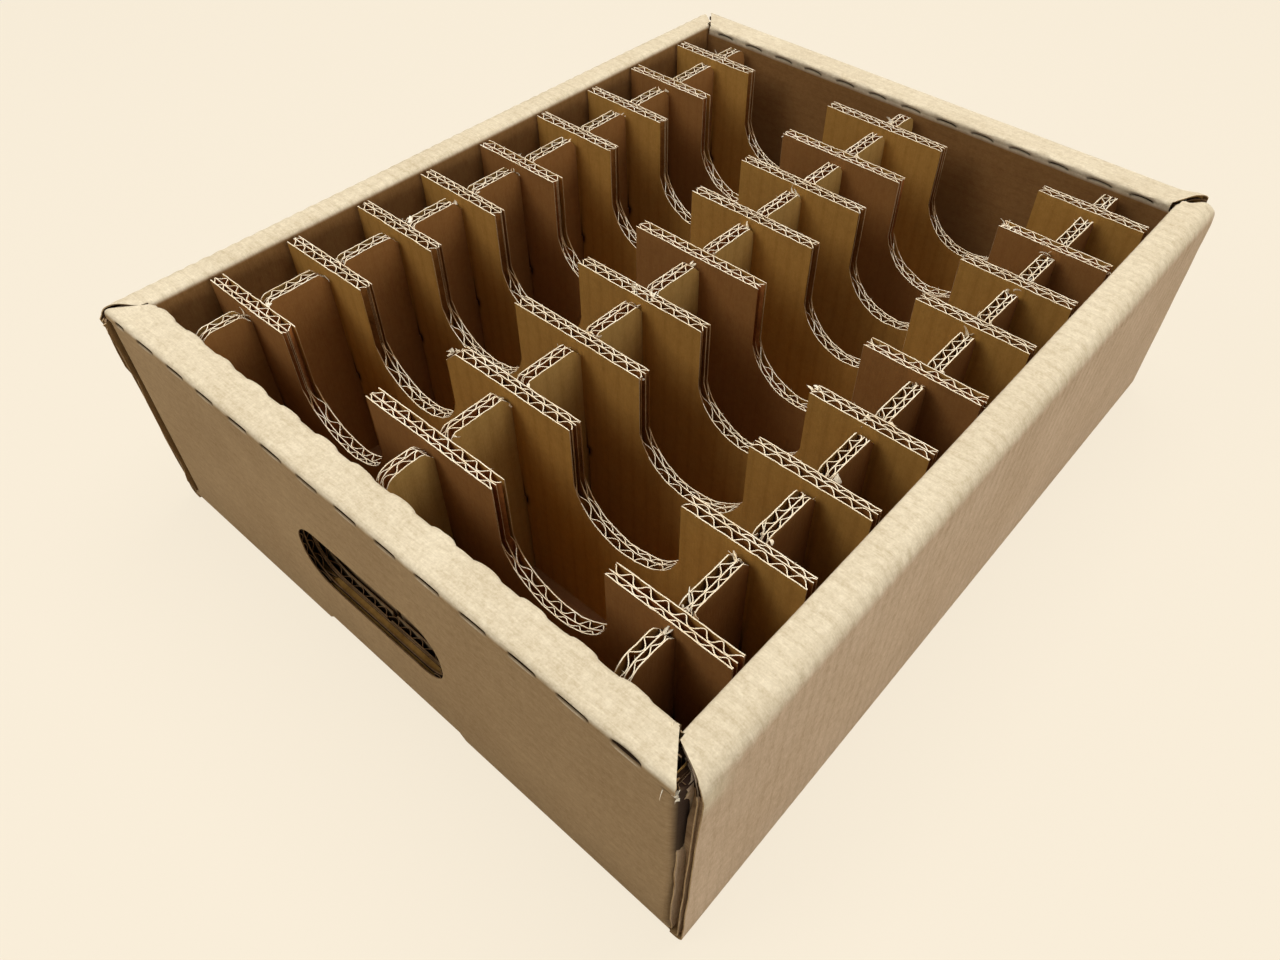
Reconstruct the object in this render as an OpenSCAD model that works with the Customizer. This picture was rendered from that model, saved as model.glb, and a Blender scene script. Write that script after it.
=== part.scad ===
// Corrugated tray with a rolled-over rim and an interlocking cradle insert.
// The tray is one folded sheet of double-wall board. Nine cross dividers with two
// round scoops each are slotted over three long dividers and stand loose in the tray.
// Millimetres. X runs across the scoops, Y along them, Z up. The base rests on Z = 0.

/* [Tray] */
// Outside width of the tray, across the two rows of scoops
tray_w = 336; // [320:1:380]
// Outside length of the tray, along the rows of scoops
tray_l = 412; // [404:1:480]
// Height over the rolled rim
tray_h = 124; // [110:1:150]
// Thickness of the tray's folded board
board_t = 5.6; // [5:0.1:6]
// Gap between two layers of board that lie against each other
lap_gap = 0.3; // [0.2:0.05:0.5]
// Radius of the crushed fold along the outer rim of a long side
side_fold_r = 8; // [6.5:0.5:10]
// Radius of the slit fold along the outer rim of an end
end_fold_r = 4; // [2:0.5:5]
// Radius of the fold along the inner edge of the rim
inner_fold_r = 3; // [2:0.5:5]
// Radius of the fold between the base and a wall
base_fold_r = 4; // [2:0.5:5]
// Radius of the upright fold between a panel and its corner flap
corner_fold_r = 6; // [4:0.5:8]
// Distance that a long side's cut end stays behind the face of the end panel
side_end_inset = 1; // [0.5:0.5:4]
// Length of the end panels' corner flaps inside the long walls
corner_flap_l = 90; // [40:5:140]
// Width of the seam where the two tucked flaps of an end meet
flap_seam = 3; // [1:0.5:6]
// Width of the mitre gap at the inner corner of the rim
mitre_gap = 1; // [0.5:0.5:2]
// Angle by which each side of the mitre gap is cut back
mitre_relief = 8; // [2:1:15]

/* [Slits] */
// Length of one slit in the folds of the end rims
slit_l = 13; // [8:1:18]
// Spacing of the slits
slit_pitch = 22.6; // [20:0.1:30]
// Width of a slit where the fold has opened it
slit_w = 1; // [0.6:0.1:1.6]

/* [Hand holes and locks] */
// Width of the hand hole in each end
hole_w = 90; // [70:1:110]
// Height of the hand hole
hole_h = 37; // [28:1:44]
// Corner radius of the hand hole
hole_r = 16; // [8:1:20]
// Height of the hand hole's middle above the surface that the tray rests on
hole_z = 61; // [45:1:70]
// Width of the slot across the bottom fold of each end, at its top
notch_w = 88; // [60:1:110]
// Height of that slot
notch_h = 7; // [6:0.5:12]
// Width of the lock tab under each rolled end panel
tab_w = 70; // [40:1:100]

/* [Dividers] */
// Thickness of the dividers' double-wall board
div_t = 6.7; // [6:0.1:7.5]
// Thickness of the facing and middle sheets of that board
liner_t = 0.55; // [0.4:0.05:0.8]
// Height of the small flutes
small_flute_h = 1.95; // [1.6:0.05:2.4]
// Length of one wave of the large flutes
large_flute_p = 7.9; // [7:0.1:9]
// Length of one wave of the small flutes
small_flute_p = 7; // [6:0.1:8]
// Width of the fluted sheet, measured along the board
web_w = 0.7; // [0.5:0.05:1]
// Drop from the rim of the tray to the top of the cross dividers
rim_drop = 2; // [0:0.5:10]
// Drop from the top of the cross dividers to the top of the long dividers
long_drop = 2; // [0:0.2:12]
// Gap between the ends of a divider and the tray's inner walls
div_gap = 2; // [0.5:0.5:6]
// Gap in the slots where the dividers cross
slot_gap = 0.4; // [0.2:0.1:1]

/* [Cross dividers] */
// Distance from an end's inner panel to the middle of the nearest cross divider
end_room = 28.6; // [24:0.2:40]
// Width of a scoop
scoop_w = 56.5; // [48:0.5:58]
// Radius of a scoop's round bottom
scoop_r = 29; // [29:0.5:36]
// Depth of a scoop below the top of the divider
scoop_depth = 54.5; // [48:0.5:60]
// Distance of a scoop's middle from the middle of the tray
scoop_x = 65; // [60:0.5:68]
// Size of the dog-ear torn from the second cross divider
tear_size = 7; // [4:0.5:12]

/* [Long dividers] */
// Distance from a long side's inner panel to the middle of the nearest long divider
side_room = 28.6; // [20:0.2:36]
// Height of the crossing above the tray's base
crossing_h = 52; // [40:1:56]
// Radius of the upper corners at the ends of a long divider
long_end_r = 8; // [3:1:15]
// Width of the bevel on each side of a slot's mouth
mouth_w = 4; // [1:0.5:5]
// Depth of that bevel
mouth_h = 5; // [2:0.5:8]

/* [Hidden] */
$fn = 96;

// A little extra so that cuts pass clean through
eps = 1;
half_w = tray_w / 2;
half_l = tray_l / 2;
// Each wall holds three layers of board and the gaps between them
wall_t = 3 * board_t + 2 * lap_gap;
inner_w = tray_w - 2 * wall_t;
inner_l = tray_l - 2 * wall_t;
// Outer face of the flaps that lie between the two panels of a wall
flap_at = board_t + lap_gap;
flap_bottom = board_t + lap_gap;
flap_top = tray_h - board_t - lap_gap;
// The end panel stops where the long side's panel laps over its corner flap
end_half_w = half_w - flap_at;
// Number of slits in the outer fold of an end, in even steps about its middle.
// They start where the fold leaves the outer panel and lean to the inside of the fold.
slit_n = floor((2 * end_half_w - slit_l) / slit_pitch) + 1;
slit_lean = 90 - atan((board_t - end_fold_r) / board_t);

large_flute_h = div_t - 3 * liner_t - small_flute_h;
cross_w = inner_w - 2 * div_gap;
cross_h = tray_h - board_t - rim_drop;
long_l = inner_l - 2 * div_gap;
long_h = cross_h - long_drop;
slot_w = div_t + slot_gap;
// How far each cross divider has settled along the tray from its even place
settle = [0, 0, 0, -0.6, -0.8, 1, 1, -2, 0];
cross_n = len(settle);
// The cross dividers share the tray's inner length, and the outer long ones follow its width
cross_pitch = (inner_l - 2 * end_room) / (cross_n - 1);
long_x = inner_w / 2 - side_room;
// Cross dividers put in with their small flutes toward the near end
turned = [1, 0, 0, 0, 1, 0, 0, 1, 0];

function cross_y(i) = (i - (cross_n + 1) / 2) * cross_pitch + settle[i - 1];

// Square-cornered cutter that leaves a rounded corner at the origin
module corner_cut(r) {
    difference() {
        translate([-eps, -eps]) square(r + eps);
        translate([r, r]) circle(r);
    }
}

// Section of a rolled wall: outer panel, rim strip, hanging inner panel and the base below.
// X is the distance in from the outer face and Y is the height.
module wall_section(rim_r) {
    cavity_w = wall_t - 2 * board_t;
    cavity_r = max(rim_r - board_t, lap_gap);
    difference() {
        square([wall_t, tray_h]);
        difference() {
            translate([board_t, board_t]) square([cavity_w, tray_h - 2 * board_t]);
            translate([board_t, tray_h - board_t]) mirror([0, 1]) corner_cut(cavity_r);
        }
        translate([board_t, board_t]) square([wall_t, lap_gap]);
        corner_cut(base_fold_r);
        translate([0, tray_h]) mirror([0, 1]) corner_cut(rim_r);
        translate([wall_t, tray_h]) rotate(180) corner_cut(inner_fold_r);
    }
}

// Rounded outline of a hand hole, about its middle
module hand_hole_outline() {
    r = min(hole_r, hole_h / 2 - lap_gap, hole_w / 2 - lap_gap);
    square([hole_w - 2 * r, hole_h], center = true);
    square([hole_w, hole_h - 2 * r], center = true);
    for (x = [-1, 1], y = [-1, 1])
        translate([x * (hole_w / 2 - r), y * (hole_h / 2 - r)]) circle(r);
}

// What is cut from a rim strip at the near left corner, seen from above.
// The strip keeps the side of the mitre that side points to: 1 for the end, -1 for the long wall.
module mitre_cut(side) {
    reach = 2 * wall_t;
    half_gap = mitre_gap / 2;
    spread = half_gap + reach * tan(mitre_relief);
    translate([-half_w + wall_t, -half_l + wall_t, flap_top])
        rotate(225)
            linear_extrude(2 * board_t)
                polygon([[-reach, side * half_gap], [0, side * half_gap], [reach, side * spread],
                         [reach, -side * reach], [-reach, -side * reach]]);
}

// One row of slits along a fold: the fold lies along X and the blade leans by an angle
module slit_row(count, lean) {
    for (k = [0 : count - 1])
        translate([(k - (count - 1) / 2) * slit_pitch, 0, 0])
            rotate([lean, 0, 0])
                translate([-slit_l / 2, -slit_w / 2, -2 * board_t])
                    cube([slit_l, slit_w, 2 * board_t + eps]);
}

// Near end wall without its flaps
module end_wall() {
    rim_y = -half_l;
    inner_y = -half_l + wall_t;
    difference() {
        translate([-end_half_w, -half_l, 0])
            rotate([90, 0, 90])
                linear_extrude(2 * end_half_w) wall_section(end_fold_r);
        // The inner panel fits between the long sides' inner panels
        for (s = [-1, 1])
            translate([s > 0 ? inner_w / 2 - lap_gap : -half_w, -half_l + board_t, board_t])
                cube([wall_t + lap_gap, wall_t, tray_h - 2 * board_t]);
        // Upright folds into the corner flaps
        for (s = [0, 1])
            mirror([s, 0, 0])
                translate([-end_half_w, -half_l, -eps])
                    linear_extrude(tray_h + 2 * eps) corner_cut(corner_fold_r);
        for (s = [0, 1])
            mirror([s, 0, 0]) mitre_cut(1);
        // Slits that let the thick board fold
        translate([0, rim_y, tray_h - end_fold_r]) slit_row(slit_n, slit_lean);
        translate([0, inner_y, tray_h]) slit_row(slit_n - 1, -45);
        // Slot across the bottom fold
        translate([0, -half_l + board_t, 0]) rotate([90, 0, 0])
            linear_extrude(board_t + eps)
                polygon([[-notch_w / 2 - notch_h, -eps], [notch_w / 2 + notch_h, -eps],
                         [notch_w / 2 + notch_h, 0], [notch_w / 2, notch_h],
                         [-notch_w / 2, notch_h], [-notch_w / 2 - notch_h, 0]]);
        // Slot in the base for the lock tab
        translate([-tab_w / 2 - lap_gap, inner_y - board_t - lap_gap, -eps])
            cube([tab_w + 2 * lap_gap, board_t + 2 * lap_gap, board_t + lap_gap + eps]);
    }
    // Lock tab under the inner panel, flush with the bottom of the base
    translate([-tab_w / 2, inner_y - board_t, 0])
        cube([tab_w, board_t, 2 * board_t]);
    // Corner flaps folded back into the long walls
    for (s = [0, 1])
        mirror([s, 0, 0])
            translate([-end_half_w, -half_l, flap_bottom])
                difference() {
                    cube([board_t, corner_flap_l, flap_top - flap_bottom]);
                    translate([0, 0, -eps])
                        linear_extrude(tray_h) corner_cut(corner_fold_r);
                }
}

// Left-hand long wall with the flaps that its inner panel tucks into both ends
module long_wall() {
    wall_l = tray_l - 2 * side_end_inset;
    inner_x = -half_w + wall_t;
    difference() {
        translate([-half_w, wall_l / 2, 0])
            rotate([90, 0, 0])
                linear_extrude(wall_l) wall_section(side_fold_r);
        // Room for the end panels and their corner flaps
        for (s = [0, 1])
            mirror([0, s, 0])
                translate([-half_w + board_t, -half_l, board_t])
                    cube([wall_t, flap_at, tray_h - 2 * board_t]);
        for (s = [0, 1])
            mirror([0, s, 0]) mitre_cut(-1);
    }
    // Tucked flaps, from the inner panel to the seam in the middle of the end
    for (s = [0, 1])
        mirror([0, s, 0])
            translate([inner_x - board_t, -half_l + flap_at, flap_bottom])
                difference() {
                    cube([inner_w / 2 + board_t - flap_seam / 2, board_t, flap_top - flap_bottom]);
                    translate([0, 0, -eps])
                        linear_extrude(tray_h) corner_cut(min(corner_fold_r, board_t));
                }
}

module tray() {
    color("#c3a678")
    difference() {
        union() {
            translate([-inner_w / 2 - eps, -inner_l / 2 - eps, 0])
                difference() {
                    cube([inner_w + 2 * eps, inner_l + 2 * eps, board_t]);
                    for (s = [0, 1])
                        translate([inner_w / 2 + eps, s * (inner_l + 2 * eps), 0])
                            translate([-tab_w / 2 - lap_gap, -eps - lap_gap, -eps])
                                cube([tab_w + 2 * lap_gap, 2 * eps + 2 * lap_gap, 3 * board_t]);
                }
            for (s = [0, 1]) {
                mirror([0, s, 0]) end_wall();
                mirror([s, 0, 0]) long_wall();
            }
        }
        // Hand holes through the outer panel and the tucked flaps; the inner panel stays whole
        for (s = [0, 1])
            mirror([0, s, 0])
                translate([0, -half_l + flap_at + board_t + lap_gap / 2, hole_z])
                    rotate([90, 0, 0])
                        linear_extrude(wall_t) hand_hole_outline();
    }
}

// The two hollow triangles of one flute wave, from the lower sheet at y to the upper at y + h
function wave_cells(x, y, h, p) = let (tip = h * 2 * web_w / p) [
    [[x + web_w, y], [x + p - web_w, y], [x + p / 2, y + h - tip]],
    [[x + p / 2 + web_w, y + h], [x + p, y + tip], [x + 3 * p / 2 - web_w, y + h]]
];

// Hollows of one row of flutes along a board of the given length
module flute_row(length, y, h, p) {
    waves = floor((length - 2 * liner_t - p / 2) / p);
    start = -(waves + 0.5) * p / 2;
    for (k = [0 : waves - 1], cell = wave_cells(start + k * p, y, h, p))
        polygon(cell);
}

// Upright double-wall board, large flutes toward -Y and open flutes along its top and bottom
module fluted_board(length, height) {
    translate([0, -div_t / 2, 0])
        linear_extrude(height)
            difference() {
                translate([-length / 2, 0]) square([length, div_t]);
                flute_row(length, liner_t, large_flute_h, large_flute_p);
                flute_row(length, div_t - liner_t - small_flute_h, small_flute_h, small_flute_p);
            }
}

// Front outline of one scoop, with its middle at X = 0 and the divider's top at Y = 0
module scoop_outline() {
    translate([-scoop_w / 2, scoop_r - scoop_depth])
        square([scoop_w, scoop_depth - scoop_r + eps]);
    intersection() {
        translate([0, scoop_r - scoop_depth]) circle(scoop_r);
        translate([-scoop_w / 2, -scoop_depth - eps]) square([scoop_w, scoop_r + 2 * eps]);
    }
}

// Cross divider i, counted from the near end
module cross_divider(i) {
    color(turned[i - 1] == 1 ? "#a8793f" : "#b98f55")
    translate([0, cross_y(i), board_t])
        difference() {
            mirror([0, turned[i - 1], 0]) fluted_board(cross_w, cross_h);
            for (s = [-1, 1])
                translate([s * scoop_x, div_t, cross_h])
                    rotate([90, 0, 0]) linear_extrude(2 * div_t) scoop_outline();
            for (x = [-long_x, 0, long_x])
                translate([x - slot_w / 2, -div_t, -eps])
                    cube([slot_w, 2 * div_t, crossing_h + slot_gap / 2 + eps]);
            if (i == 2)
                translate([-scoop_x + scoop_w / 2, 0, cross_h])
                    rotate([0, 45, 0])
                        cube([1.4 * tear_size, 2 * div_t, 1.4 * tear_size], center = true);
        }
}

// Side outline of a slot in a long divider, open at the top
module long_slot_outline() {
    floor_y = crossing_h - slot_gap / 2;
    translate([-slot_w / 2, floor_y]) square([slot_w, long_h - floor_y + eps]);
    polygon([[-slot_w / 2, long_h - mouth_h], [slot_w / 2, long_h - mouth_h],
             [slot_w / 2 + mouth_w, long_h], [slot_w / 2 + mouth_w, long_h + eps],
             [-slot_w / 2 - mouth_w, long_h + eps], [-slot_w / 2 - mouth_w, long_h]]);
}

// Long divider at the given place, with its large flutes toward -X unless it is turned
module long_divider(x, turn) {
    color("#b38750")
    translate([x, 0, board_t])
        difference() {
            rotate([0, 0, -90]) mirror([0, turn, 0]) fluted_board(long_l, long_h);
            for (i = [1 : cross_n])
                translate([-div_t, cross_y(i), 0])
                    rotate([90, 0, 90]) linear_extrude(2 * div_t) long_slot_outline();
            for (s = [0, 1])
                mirror([0, s, 0])
                    translate([-div_t, -long_l / 2, long_h])
                        rotate([90, 0, 90])
                            linear_extrude(2 * div_t) mirror([0, 1]) corner_cut(long_end_r);
        }
}

tray();
cross_divider(1);  // cross_divider_1
cross_divider(2);  // cross_divider_2
cross_divider(3);  // cross_divider_3
cross_divider(4);  // cross_divider_4
cross_divider(5);  // cross_divider_5
cross_divider(6);  // cross_divider_6
cross_divider(7);  // cross_divider_7
cross_divider(8);  // cross_divider_8
cross_divider(9);  // cross_divider_9
long_divider(-long_x, 0);  // long_divider_left
long_divider(0, 1);  // long_divider_middle
long_divider(long_x, 0);  // long_divider_right
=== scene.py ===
import math
from collections import namedtuple

import bpy
import numpy as np
from mathutils import Matrix, Vector


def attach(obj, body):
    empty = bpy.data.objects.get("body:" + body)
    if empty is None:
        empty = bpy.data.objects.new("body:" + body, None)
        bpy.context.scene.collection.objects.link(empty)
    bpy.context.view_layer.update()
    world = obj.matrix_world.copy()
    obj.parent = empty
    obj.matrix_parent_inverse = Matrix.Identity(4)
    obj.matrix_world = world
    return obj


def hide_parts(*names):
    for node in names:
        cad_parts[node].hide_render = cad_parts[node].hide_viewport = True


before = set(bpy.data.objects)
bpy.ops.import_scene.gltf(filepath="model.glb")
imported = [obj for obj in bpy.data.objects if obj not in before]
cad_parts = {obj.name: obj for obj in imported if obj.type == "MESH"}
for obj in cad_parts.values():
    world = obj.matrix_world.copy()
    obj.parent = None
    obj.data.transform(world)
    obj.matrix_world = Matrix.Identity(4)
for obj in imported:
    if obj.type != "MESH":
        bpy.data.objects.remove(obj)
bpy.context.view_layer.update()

MM = 0.001
SHARP_ANGLE = math.radians(38)

# Tray
TRAY_W, TRAY_L, TRAY_H = 336.0, 412.0, 124.0
BOARD, LAP = 5.6, 0.3
WALL = 3 * BOARD + 2 * LAP
HALF_W, HALF_L = TRAY_W / 2, TRAY_L / 2
INNER_W = TRAY_W - 2 * WALL
SIDE_FOLD, END_FOLD, INNER_FOLD, BASE_FOLD, CORNER_FOLD = 8.0, 3.0, 3.0, 4.0, 6.0
FLAP_LOW, FLAP_HIGH, CORNER_FLAP = 5.9, 118.1, 90.0
SLIT_LENGTH, SLIT_PITCH, SLIT_COUNT = 13.0, 22.6, 14
HOLE_W, HOLE_H, HOLE_R, HOLE_Z = 90.0, 37.0, 16.0, 61.0
NOTCH_W, NOTCH_H, TAB_W = 88.0, 7.0, 70.0
RIPPLE = 7.1
# Depths of the tray board's sheets and flutes below its outer face
SMALL_GAP, LARGE_GAP = (0.5, 2.1), (2.6, 5.1)
TRAY_LAYERS = (("liner", 0.0, 0.5), ("flute", *SMALL_GAP), ("liner", 2.1, 2.6),
               ("flute", *LARGE_GAP), ("liner", 5.1, BOARD))
# How far the walls' sheets run on under the tray, up to the base
SIDE_UNDER, END_UNDER = 12.0, 11.4
# How far flutes stand back from cut edges of the tray
FLUTE_BACK, SMALL_HOLE_BACK, LARGE_HOLE_BACK = 2.6, 1.7, 0.5

# Heights that part the walls' sections: foot, upper part and rim
FOOT_Z, UPPER_Z, RIM_Z = 8.0, 100.0, 118.0
# Half lengths of a long side: evenly spaced columns, inner panel and its top,
# rim at its outer and inner fold, outer panel and base
SIDE_EVEN, SIDE_INNER, SIDE_INNER_TOP = 184.0, 194.2, 190.5
SIDE_RIM, SIDE_PANEL, SIDE_BASE = (204.8, 192.2), 205.0, 200.5
# A cut edge that leans more than this is peeled and worn
PEEL_LEAN = 3.0
# Half lengths of an end: evenly spaced columns, top of the inner panel,
# rim at its outer and inner fold, top of the outer panel and base
END_EVEN, END_INNER_TOP, END_RIM, END_PANEL_TOP, END_BASE = 147.2, 149.0, (161.2, 148.5), 159.5, 161.9
# An end's rim strip lies above this
END_RIM_Z = 119.5
# Where an end turns round its upright folds
END_TURN, END_ARC = HALF_W - BOARD - LAP - CORNER_FOLD, CORNER_FOLD * math.pi / 2

# Dividers
DIV_T, LINER_T, MEDIUM_T = 6.7, 0.46, 0.38
SMALL_FLUTE, LARGE_FLUTE = 2.1, 3.34
SMALL_WAVE, LARGE_WAVE = 7.0, 7.9
CROSS_LOW, CROSS_TOP, LONG_TOP = 5.6, 122.0, 120.0
CROSS_W, LONG_L = 297.2, 373.2
CROSSING_Z = 57.6
SLOT_W, SLOT_PLAY, SLOT_EASE = 7.1, 0.2, 0.8
SCOOP_X, SCOOP_W, SCOOP_R, SCOOP_DEPTH = 65.0, 56.5, 29.0, 54.5
LONG_X, LONG_END_R, MOUTH_W, MOUTH_H = 122.0, 8.0, 4.0, 5.0
CROSS_Y = tuple(40.0 * (i - 5) + s for i, s in
                zip(range(1, 10), (0, 0, 0, -0.6, -0.8, 1, 1, -2, 0)))
LONG_XS, SCOOP_XS = (-LONG_X, 0.0, LONG_X), (-SCOOP_X, SCOOP_X)
TURNED = (1, 5, 8)
TORN_EAR, EAR_SIZE = 2, 7.0
# Spacing of places along fluted and plain sheets
FLUTED_STEP, PLAIN_STEP = 0.62, 1.7
# How uneven a cut is, how much rougher in the scoops, and how far a sheet leans out at its top
RAGGED, SCOOP_ROUGHER, FLARE = 0.16, 2.2, 0.14
# Height of the frayed shelf under a divider's upper edge
SHELF = 6.0
SLIVER_T = 0.14


def wander(count, every, source):
    """Smooth random values from -1 to 1, with a fresh one every few places."""
    knots = source.uniform(-1, 1, int(count / every) + 3)
    t = np.arange(count) / every
    i = t.astype(int)
    f = t - i
    f = f * f * (3 - 2 * f)
    return knots[i] * (1 - f) + knots[i + 1] * f


def ramp(value, start, length):
    """0 before a start, 1 after a length, and even between."""
    return np.clip((value - start) / length, 0, 1)


def bell(value, width):
    return np.exp(-(value / width) ** 2)


class Graph:
    """Short ways to add nodes to a tree and to link them."""

    def __init__(self, tree):
        self.tree = tree

    def feed(self, node, inputs):
        for key, value in inputs.items():
            if isinstance(value, bpy.types.NodeSocket):
                self.tree.links.new(value, node.inputs[key])
            else:
                node.inputs[key].default_value = value

    def add(self, kind, inputs=None, **settings):
        node = self.tree.nodes.new(kind)
        for key, value in settings.items():
            setattr(node, key, value)
        self.feed(node, inputs or {})
        return node

    def out(self, kind, inputs=None, at=0, **settings):
        """One output of a new node."""
        return self.add(kind, inputs, **settings).outputs[at]

    def math(self, operation, a, b=0.0, c=0.0):
        return self.out("ShaderNodeMath", {0: a, 1: b, 2: c}, operation=operation)

    def plus(self, value, *parts):
        """A value with weighted parts added to it."""
        for part, weight in parts:
            value = self.math("MULTIPLY_ADD", part, weight, value)
        return value

    def mix(self, share, a, b):
        return self.out("ShaderNodeMix", {0: share, 6: a, 7: b}, 2, data_type="RGBA")

    def noise(self, place, scale, detail, roughness=0.5):
        return self.out("ShaderNodeTexNoise", {"Vector": place, "Scale": scale, "Detail": detail,
                                               "Roughness": roughness})

    def bump(self, height):
        return self.out("ShaderNodeBump", {"Strength": 0.6, "Distance": 0.0003, "Height": height})

    def mark(self, label):
        return self.out("ShaderNodeAttribute", at="Fac", attribute_name=label)

    def facing_up(self, operation, limit):
        """Where the upward part of the normal is on one side of a limit."""
        up = self.out("ShaderNodeSeparateXYZ", {0: self.out("GeometryNodeInputNormal")}, 2)
        return self.out("FunctionNodeCompare", {0: up, 1: limit}, data_type="FLOAT", operation=operation)

    def both(self, a, b):
        return self.out("FunctionNodeBooleanMath", {0: a, 1: b}, operation="AND")

    def painted(self, geometry, finish, **chosen):
        """Geometry, or the chosen part of it, in a finish."""
        return self.out("GeometryNodeSetMaterial", {"Geometry": geometry, "Material": finish, **chosen})


def colour(red, green, blue):
    """A linear colour from everyday 0 to 255 values."""
    def linear(v):
        v /= 255
        return v / 12.92 if v <= 0.04045 else ((v + 0.055) / 1.055) ** 2.4
    return (linear(red), linear(green), linear(blue), 1.0)


# Finishes

def new_finish(name):
    finish = bpy.data.materials.new(name)
    finish.use_nodes = True
    return finish, Graph(finish.node_tree), finish.node_tree.nodes["Principled BSDF"]


def kraft_paper(name, tone, wave, print_through, contrast, paler=None):
    """Kraft liner: mottled tone, fibres along the flutes, flute lines showing through, a paler tone where the
    rim mark lies (upward faces painted lighter as lit, and worn places), and painted shade where marked.
    """
    finish, g, shader = new_finish(name)
    place = g.out("ShaderNodeTexCoord", at="Object")
    sheet = g.out("ShaderNodeUVMap", at="UV", uv_map="sheet")
    split = g.add("ShaderNodeSeparateXYZ", {0: sheet}).outputs
    across, along = split[0], split[1]

    def stretched(wide, tall):
        return g.out("ShaderNodeCombineXYZ", {0: g.math("MULTIPLY", across, wide),
                                              1: g.math("MULTIPLY", along, tall)})

    def tinted(tint):
        return g.out("ShaderNodeVectorMath", {0: base, 1: tint}, operation="MULTIPLY")

    cloud = g.noise(place, 28.0, 3.0, 0.6)
    mottle = g.noise(place, 330.0, 4.0, 0.75)
    speckle = g.noise(place, 1100.0, 2.0, 0.7)
    fibre = g.noise(stretched(1500.0, 160.0), 1.0, 2.0, 0.55)
    streak = g.noise(stretched(260.0, 5.0), 1.0, 3.0)
    turn = g.plus(g.math("MULTIPLY", cloud, 1.6), (across, 2 * math.pi / (wave * MM)))
    line = g.math("POWER", g.plus(0.5, (g.math("SINE", turn), 0.5)), 5.0)

    shade = g.plus(-1.6, (mottle, 1.1), (speckle, 0.7), (fibre, 0.7), (cloud, 0.7),
                   (streak, 2.0 * print_through), (line, 2.8 * print_through))
    share = g.plus(0.5, (g.math("SUBTRACT", shade, 1.6 * print_through), contrast))
    # The rim mark paints upward faces in the paler tone as painted light, and worn places too.
    base = g.mix(g.mark("rim"), tone, paler or tone)
    deep, pale = tinted((0.74, 0.69, 0.61)), tinted((1.26, 1.31, 1.39))
    skin = g.mix(g.out("ShaderNodeClamp", {0: share}), pale, deep)
    relief = g.plus(g.math("MULTIPLY", fibre, 0.5), (mottle, 0.9), (speckle, 0.4),
                    (line, -1.2 * print_through))
    # Marked places are painted near black, as painted shade in slits, gaps and folds.
    g.feed(shader, {"Base Color": g.mix(g.mark("slit"), skin, colour(40, 22, 9)), "Normal": g.bump(relief),
                    "Roughness": g.out("ShaderNodeMapRange", {0: fibre, 3: 0.8, 4: 0.95}),
                    "Specular IOR Level": 0.2})
    return finish


def torn_paper(name, tone, deep, scale=900.0):
    """Bare paper where the board was cut or torn: matt, fibrous and uneven."""
    finish, g, shader = new_finish(name)
    place = g.out("ShaderNodeTexCoord", at="Object")
    fine, broad = g.noise(place, scale, 3.0, 0.7), g.noise(place, 90.0, 2.0)
    shade = g.plus(g.math("MULTIPLY", broad, 0.55), (fine, 0.65))
    share = g.out("ShaderNodeMapRange", {0: shade, 1: 0.42, 2: 0.82})
    g.feed(shader, {"Base Color": g.mix(share, tone, deep), "Normal": g.bump(fine), "Roughness": 0.95,
                    "Specular IOR Level": 0.1})
    return finish


# Pale tone for the rim mark: upward faces painted lighter as lit, and worn places
RIM_TONE = colour(211, 195, 165)
SIDE_LINER = kraft_paper("tray_side_liner", colour(196, 171, 142), RIPPLE, 0.05, 0.9, RIM_TONE)
# The ends' outer liner is the sides' liner painted darker, as painted shade
SHADED_END_LINER = kraft_paper("tray_end_liner_painted_shade", colour(168, 140, 102), RIPPLE, 0.03, 0.9, RIM_TONE)
# The inner panels' liner is the same paper, painted darker still as painted shade
SHADED_INSIDE_LINER = kraft_paper("tray_inside_liner_painted_shade", colour(142, 103, 58), RIPPLE, 0.05, 0.8, RIM_TONE)
# The tray's inner floor is the back liner painted darker and redder, as painted shade deep in the tray
SHADED_FLOOR_LINER = kraft_paper("tray_floor_liner_painted_shade", colour(128, 84, 48), RIPPLE, 0.06, 0.6)
BACK_LINER = kraft_paper("tray_back_liner", colour(150, 118, 76), RIPPLE, 0.08, 0.5)
AMBER_LINER = kraft_paper("divider_amber_liner", colour(181, 135, 65), LARGE_WAVE, 0.09, 0.6)
STRAW_LINER = kraft_paper("divider_straw_liner", colour(175, 137, 74), LARGE_WAVE, 0.08, 0.6)
CHESTNUT_LINER = kraft_paper("divider_chestnut_liner", colour(153, 106, 55), SMALL_WAVE, 0.05, 0.6)
MEDIUM = torn_paper("fluted_medium", colour(158, 106, 52), colour(112, 72, 33), 500.0)
RUST_MEDIUM = torn_paper("fluted_rust_medium", colour(174, 110, 56), colour(120, 72, 34), 500.0)
CUT_EDGE = torn_paper("cut_board_edge", colour(250, 238, 212), colour(222, 197, 156))
# Upright cut edges of the dividers are painted darker than the upward ones, as painted shade
SHADED_UPRIGHT_EDGE = torn_paper("upright_board_edge_painted_shade", colour(205, 172, 128), colour(146, 108, 70))
TRAY_CUT = torn_paper("tray_cut_edge", colour(206, 178, 136), colour(150, 118, 78))
CUT_FLUTE = torn_paper("cut_flute_wall", colour(158, 130, 97), colour(108, 82, 55), 500.0)
# Cut edges in the hand hole are the tray's cut edge painted darker, as painted shade in the hole
SHADED_HOLE_CUT = torn_paper("hand_hole_edge_painted_shade", colour(150, 120, 86), colour(98, 72, 46))
TROUGH = torn_paper("flute_trough", colour(166, 128, 68), colour(126, 93, 44), 300.0)
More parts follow.
